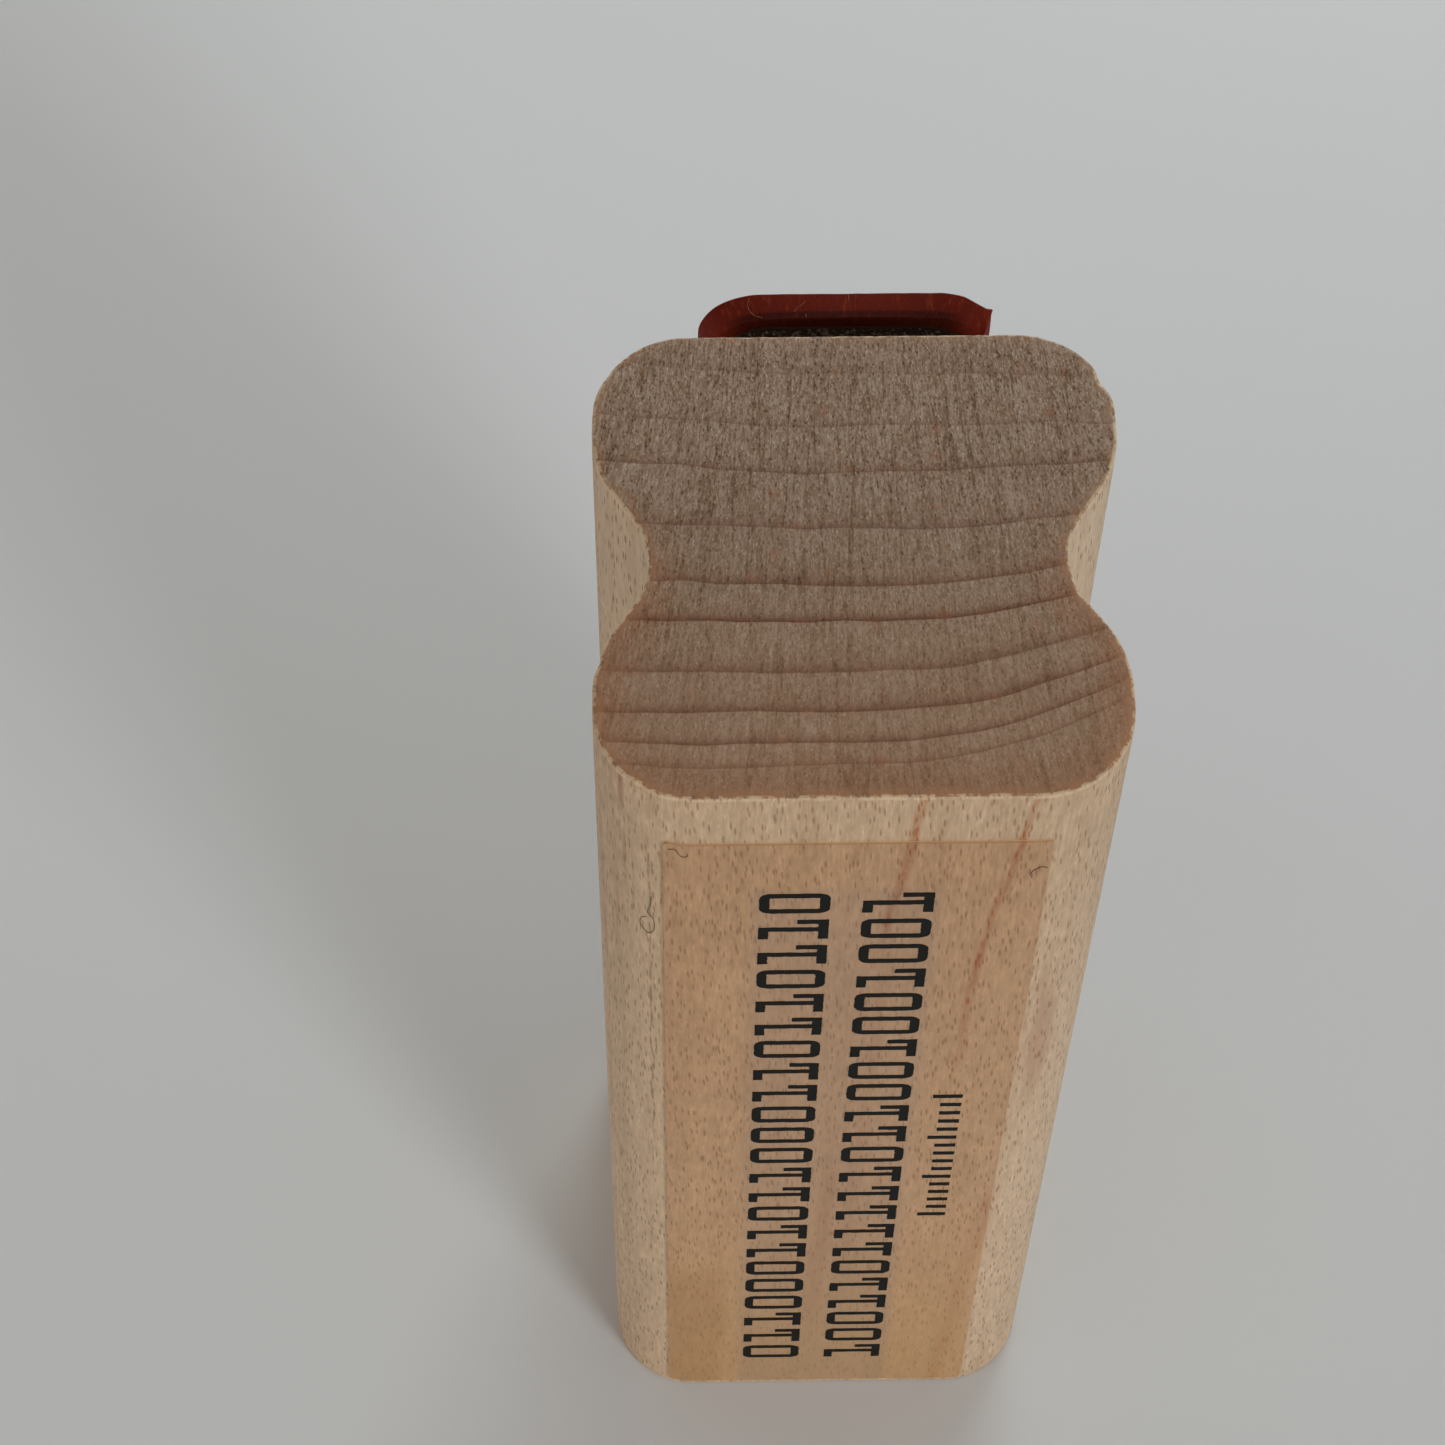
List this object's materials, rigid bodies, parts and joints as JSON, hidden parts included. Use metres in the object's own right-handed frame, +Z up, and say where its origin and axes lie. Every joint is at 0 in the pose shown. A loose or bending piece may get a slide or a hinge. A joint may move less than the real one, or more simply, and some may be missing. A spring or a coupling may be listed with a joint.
{
  "type": "rubber stamp",
  "caption": "Wood-mounted rubber stamp: a maple block with finger grooves, a foam cushion, a red rubber die with raised numerals, and a clear printed index label.",
  "frame": {"origin": "the centre of the block's bottom end face, which the stamp stands on", "axes": "+Z up along the block's length, +Y out of the rubber die, -Y out of the printed index label, +X to the right when the label is faced"},
  "size_m": [0.0254, 0.0313, 0.0825],
  "materials": {
    "maple_wood": "matte",
    "clear_adhesive": "satin",
    "label_film": "satin",
    "label_ink": "matte",
    "dark_foam": "matte",
    "red_rubber": "satin"
  },
  "bodies": {
    "root": {"wood_block": "maple_wood", "label_adhesive_film": "clear_adhesive", "label_film": "label_film", "block_adhesive_film": "clear_adhesive", "foam_cushion": "dark_foam", "die_adhesive_film": "clear_adhesive", "rubber_die": "red_rubber"}
  },
  "joints": []
}
